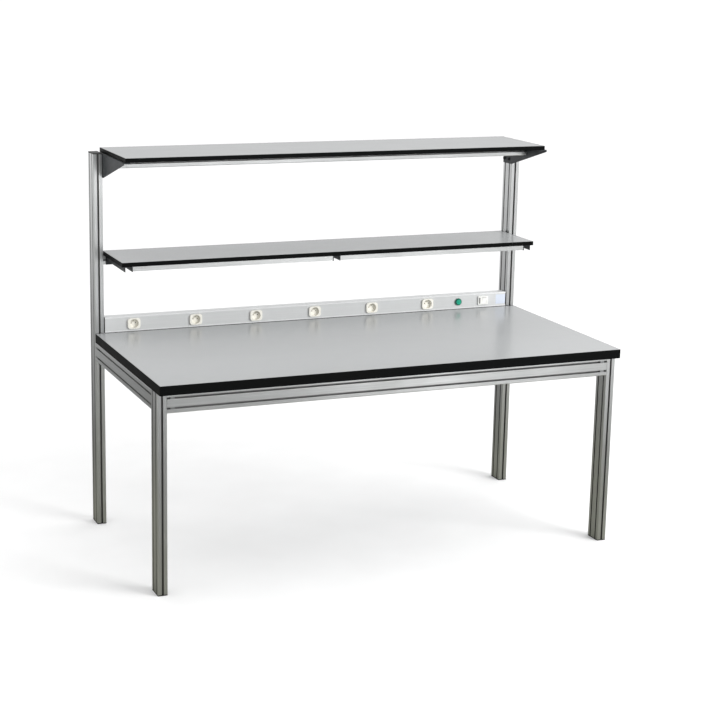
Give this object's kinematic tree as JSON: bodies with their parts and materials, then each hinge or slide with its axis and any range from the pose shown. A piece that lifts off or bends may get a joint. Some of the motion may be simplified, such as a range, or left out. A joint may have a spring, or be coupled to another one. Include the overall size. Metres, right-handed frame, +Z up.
{
  "type": "laboratory bench with reagent shelf",
  "caption": "Laboratory bench: grey laminate worktop on a slotted aluminium frame, socket trunking behind it and two black-edged shelves between the uprights.",
  "frame": {"origin": "centre of the footprint's bounding box at floor level", "axes": "+X along the bench's length, to the right of a user who faces it; +Y from the user to the rear uprights; +Z up"},
  "size_m": [2, 1.03, 1.631],
  "materials": {
    "anodised_aluminium": "satin anodised extrusion",
    "grey_laminate": "fine-textured light grey laminate on chipboard",
    "black_edging": "matt black edge strip",
    "black_plastic": "matt moulded black",
    "dark_steel": "dark grey satin powder coat",
    "black_screw": "black oxide",
    "zinc_steel": "bright zinc",
    "grey_cover": "fine matt grey",
    "cream_socket": "smooth cream white",
    "green_bezel": "dark green moulded",
    "green_button": "glossy green",
    "white_switch": "smooth white"
  },
  "bodies": {
    "frame": {"upright_left": "anodised_aluminium", "leg_left": "anodised_aluminium", "side_rail_left": "anodised_aluminium", "foot_cap_rear_left": "black_plastic", "foot_cap_front_left": "black_plastic", "top_cap_left": "black_plastic", "trunking_end_left": "black_plastic", "gusset_left": "dark_steel", "lock_block_side_left_lower": "zinc_steel", "lock_block_front_left_lower": "zinc_steel", "lock_block_side_left_upper": "zinc_steel", "lock_block_front_left_upper": "zinc_steel", "gusset_bolt_left_front": "black_screw", "gusset_bolt_left_rear": "black_screw", "upright_right": "anodised_aluminium", "leg_right": "anodised_aluminium", "side_rail_right": "anodised_aluminium", "foot_cap_rear_right": "black_plastic", "foot_cap_front_right": "black_plastic", "top_cap_right": "black_plastic", "trunking_end_right": "black_plastic", "gusset_right": "dark_steel", "lock_block_side_right_lower": "zinc_steel", "lock_block_front_right_lower": "zinc_steel", "lock_block_side_right_upper": "zinc_steel", "lock_block_front_right_upper": "zinc_steel", "gusset_bolt_right_front": "black_screw", "gusset_bolt_right_rear": "black_screw", "front_rail": "anodised_aluminium", "rear_rail": "anodised_aluminium", "top_beam": "anodised_aluminium", "trunking_channel": "anodised_aluminium", "worktop_panel": "grey_laminate", "top_shelf_panel": "grey_laminate", "worktop_edging": "black_edging", "top_shelf_edging": "black_edging", "trunking_cover": "grey_cover", "socket_1": "cream_socket", "socket_2": "cream_socket", "socket_3": "cream_socket", "socket_4": "cream_socket", "socket_5": "cream_socket", "socket_6": "cream_socket", "button_bezel": "green_bezel", "switch_frame": "white_switch", "switch_window": "black_plastic"},
    "lower_shelf": {"lower_shelf_panel": "grey_laminate", "lower_shelf_edging": "black_edging", "lower_beam": "anodised_aluminium", "shelf_arm_left": "dark_steel", "shelf_arm_middle": "dark_steel", "shelf_arm_right": "dark_steel", "front_bar_left": "anodised_aluminium", "front_bar_right": "anodised_aluminium", "beam_screw_left": "zinc_steel", "beam_screw_right": "zinc_steel"},
    "push_button": {"push_button": "green_button"},
    "switch_rocker": {"switch_rocker": "white_switch"}
  },
  "joints": [
    {"name": "lower_shelf_height", "type": "slide", "parent": "frame", "child": "lower_shelf", "axis": [0, 0, 1], "range_m": [-0.18, 0.25]},
    {"name": "push_button_travel", "type": "slide", "parent": "frame", "child": "push_button", "axis": [0, 1, 0], "range_m": [0, 0.003], "stiffness_N_per_m": 1500},
    {"name": "switch_rocker_tilt", "type": "hinge", "parent": "frame", "child": "switch_rocker", "pos_m": [0.843, 0.4323, 0.884], "axis": [1, 0, 0], "range_deg": [-12, 0]}
  ]
}
